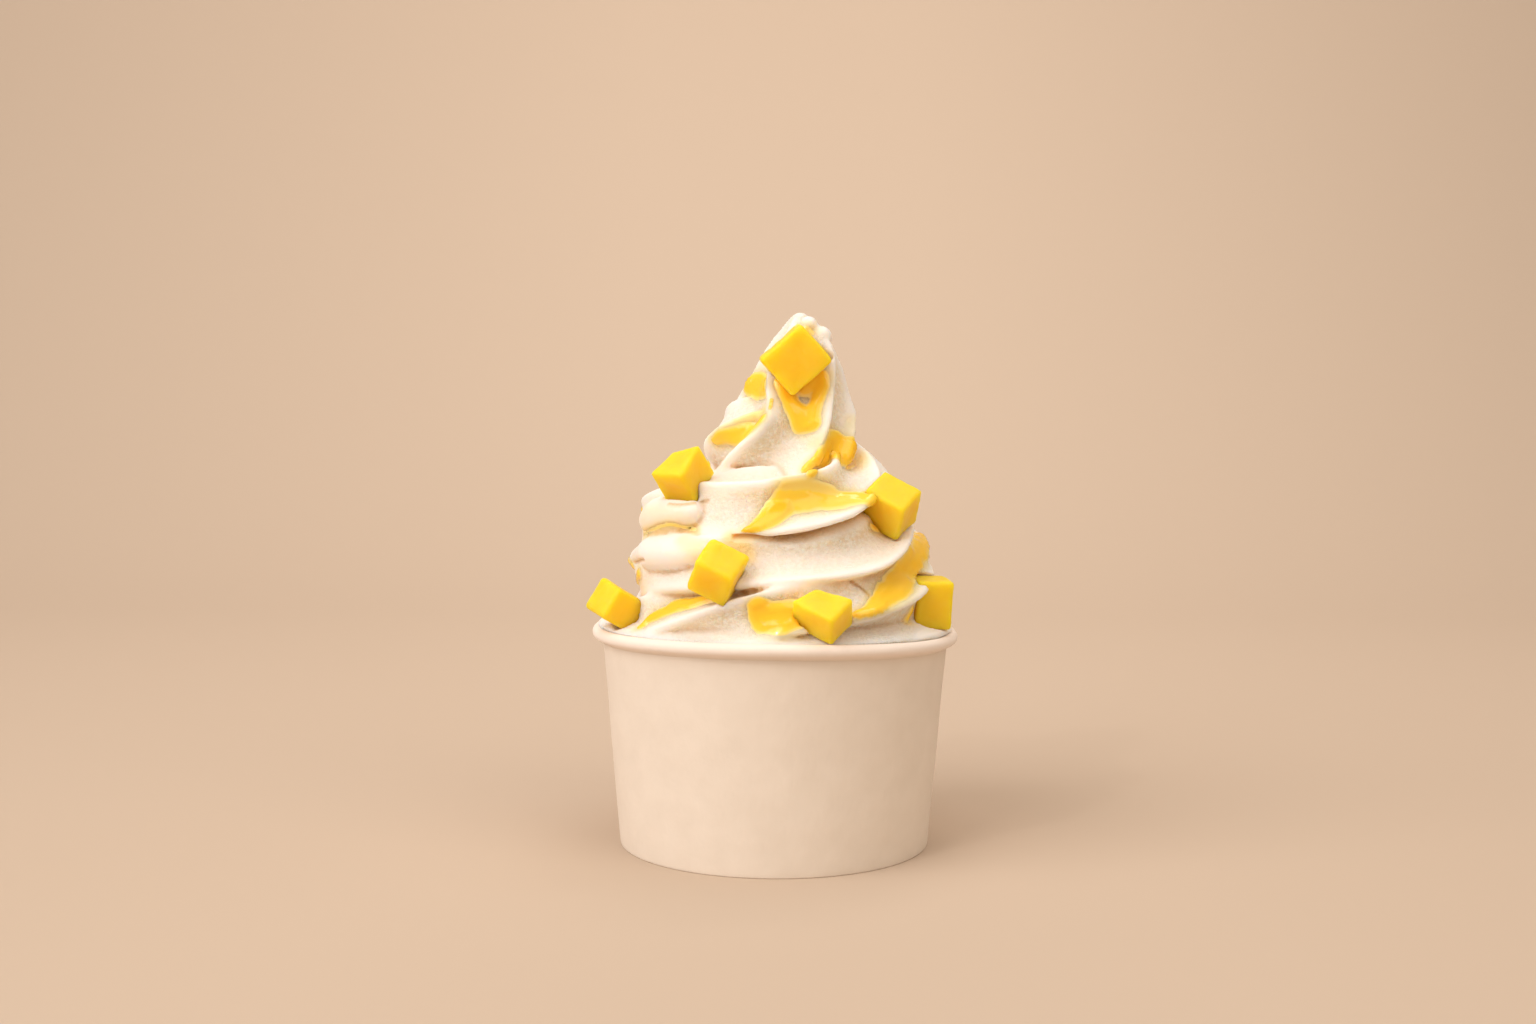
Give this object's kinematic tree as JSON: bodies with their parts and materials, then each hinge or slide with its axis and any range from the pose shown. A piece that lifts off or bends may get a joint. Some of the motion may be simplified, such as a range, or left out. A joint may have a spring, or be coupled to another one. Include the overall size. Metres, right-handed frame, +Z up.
{
  "type": "frozen yogurt cup",
  "caption": "Soft frozen yogurt piped as a tall ribbed swirl into a plain paper cup with a rolled rim, topped with mango cubes and mango sauce.",
  "frame": {"origin": "on the table under the cup's axis, at the bottom centre of the whole", "axes": "+Z up along the cup's axis to the swirl's tip, -Y towards the front"},
  "size_m": [0.0972, 0.0994, 0.1399],
  "materials": {
    "paper": "uncoated smooth paper board, matte",
    "yogurt": "soft frozen dairy, satin with an icy grain",
    "mango": "wet fruit flesh, soft gloss",
    "sauce": "glossy thin fruit sauce"
  },
  "bodies": {
    "root": {"paper_cup_wall": "paper", "paper_cup_base": "paper", "frozen_yogurt_swirl": "yogurt", "mango_cube_01": "mango", "mango_cube_02": "mango", "mango_cube_03": "mango", "mango_cube_04": "mango", "mango_cube_05": "mango", "mango_cube_06": "mango", "mango_cube_07": "mango", "mango_cube_08": "mango", "mango_cube_09": "mango", "mango_cube_10": "mango", "mango_cube_11": "mango", "mango_cube_12": "mango"}
  },
  "joints": []
}
